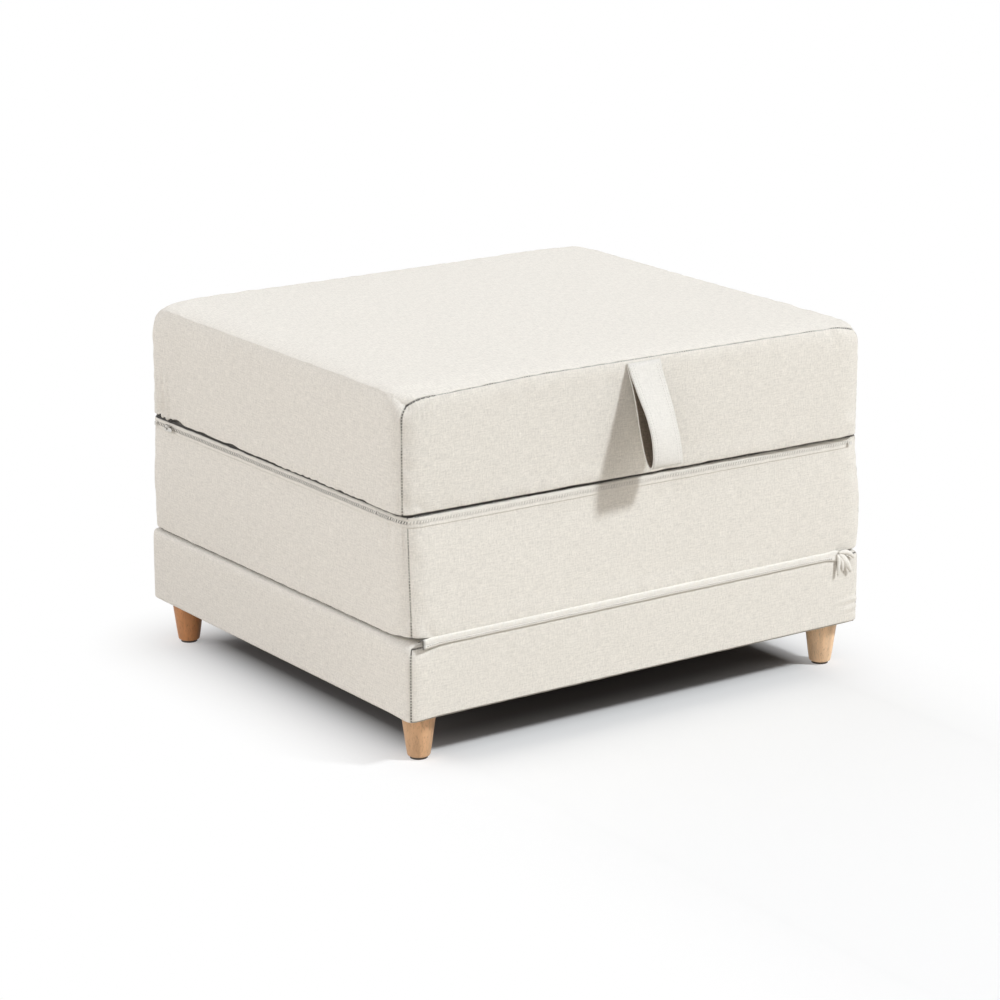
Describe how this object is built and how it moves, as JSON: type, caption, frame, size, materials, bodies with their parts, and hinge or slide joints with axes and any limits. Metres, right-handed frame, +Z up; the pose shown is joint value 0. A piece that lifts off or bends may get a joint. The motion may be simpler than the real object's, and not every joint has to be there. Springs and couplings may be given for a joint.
{
  "type": "fold out ottoman guest bed",
  "caption": "Square upholstered ottoman on turned wooden legs, whose stacked cushions unfold forwards over cloth hinges into a guest bed.",
  "frame": {"origin": "on the floor under the middle of the folded object's outline, the pull loop's foot and the back of the base being as far from it", "axes": "+Z up; the front, with the pull loop, faces -Y; +X to the right when seen from the front"},
  "size_m": [0.7203, 0.681, 0.4726],
  "materials": {
    "linen_weave": "matte",
    "hinge_cloth": "matte",
    "foam": "matte",
    "zip_cloth": "matte",
    "zip_plastic": "satin",
    "zip_metal": "satin",
    "beech": "satin",
    "softwood": "matte",
    "plywood": "matte",
    "dark_lining": "matte",
    "zinc_steel": "satin",
    "grey_plastic": "matte"
  },
  "bodies": {
    "root": {"front_rail": "softwood", "back_rail": "softwood", "left_rail": "softwood", "right_rail": "softwood", "centre_rail": "softwood", "corner_blocks": "softwood", "deck_board": "plywood", "frame_screws": "zinc_steel", "deck_screws": "zinc_steel", "base_foam": "foam", "base_cover": "linen_weave", "dust_cover": "dark_lining", "cover_staples": "zinc_steel", "leg_front_left": "beech", "leg_front_right": "beech", "leg_back_left": "beech", "leg_back_right": "beech", "foot_glides": "grey_plastic", "leg_bolts": "zinc_steel", "leg_nuts": "zinc_steel", "front_hinge_base_half": "hinge_cloth"},
    "middle_panel": {"middle_cover": "linen_weave", "middle_foam": "foam", "front_hinge_middle_half": "hinge_cloth", "rear_hinge_middle_half": "hinge_cloth", "zip_tape": "zip_cloth", "zip_coil": "zip_plastic", "zip_stops": "zip_metal"},
    "top_panel": {"top_cover": "linen_weave", "top_foam": "foam", "rear_hinge_top_half": "hinge_cloth"},
    "strap_loop": {"pull_strap": "linen_weave"},
    "slider": {"zip_slider": "zip_metal"},
    "pull_tab": {"zip_pull": "zip_metal"}
  },
  "joints": [
    {"name": "fold_out", "type": "hinge", "parent": "root", "child": "middle_panel", "pos_m": [0, -0.297, 0.1583], "axis": [1, 0, 0], "range_deg": [0, 180]},
    {"name": "top_unfold", "type": "hinge", "parent": "middle_panel", "child": "top_panel", "pos_m": [0, 0.339, 0.3166], "axis": [1, 0, 0], "range_deg": [-180, 0]},
    {"name": "strap_swing", "type": "hinge", "parent": "top_panel", "child": "strap_loop", "pos_m": [-0.002, -0.2908, 0.4574], "axis": [-1, 0, 0], "range_deg": [0, 100]},
    {"name": "zip_slide", "type": "slide", "parent": "middle_panel", "child": "slider", "axis": [0, -1, 0], "range_m": [0, 0.545]},
    {"name": "pull_tab_flip", "type": "hinge", "parent": "slider", "child": "pull_tab", "pos_m": [-0.36025, 0.2825, 0.3083], "axis": [0, 0, -1], "range_deg": [0, 175]}
  ],
  "couplings": [
    {"joint": "top_unfold", "follows": "fold_out", "ratio": -1}
  ]
}
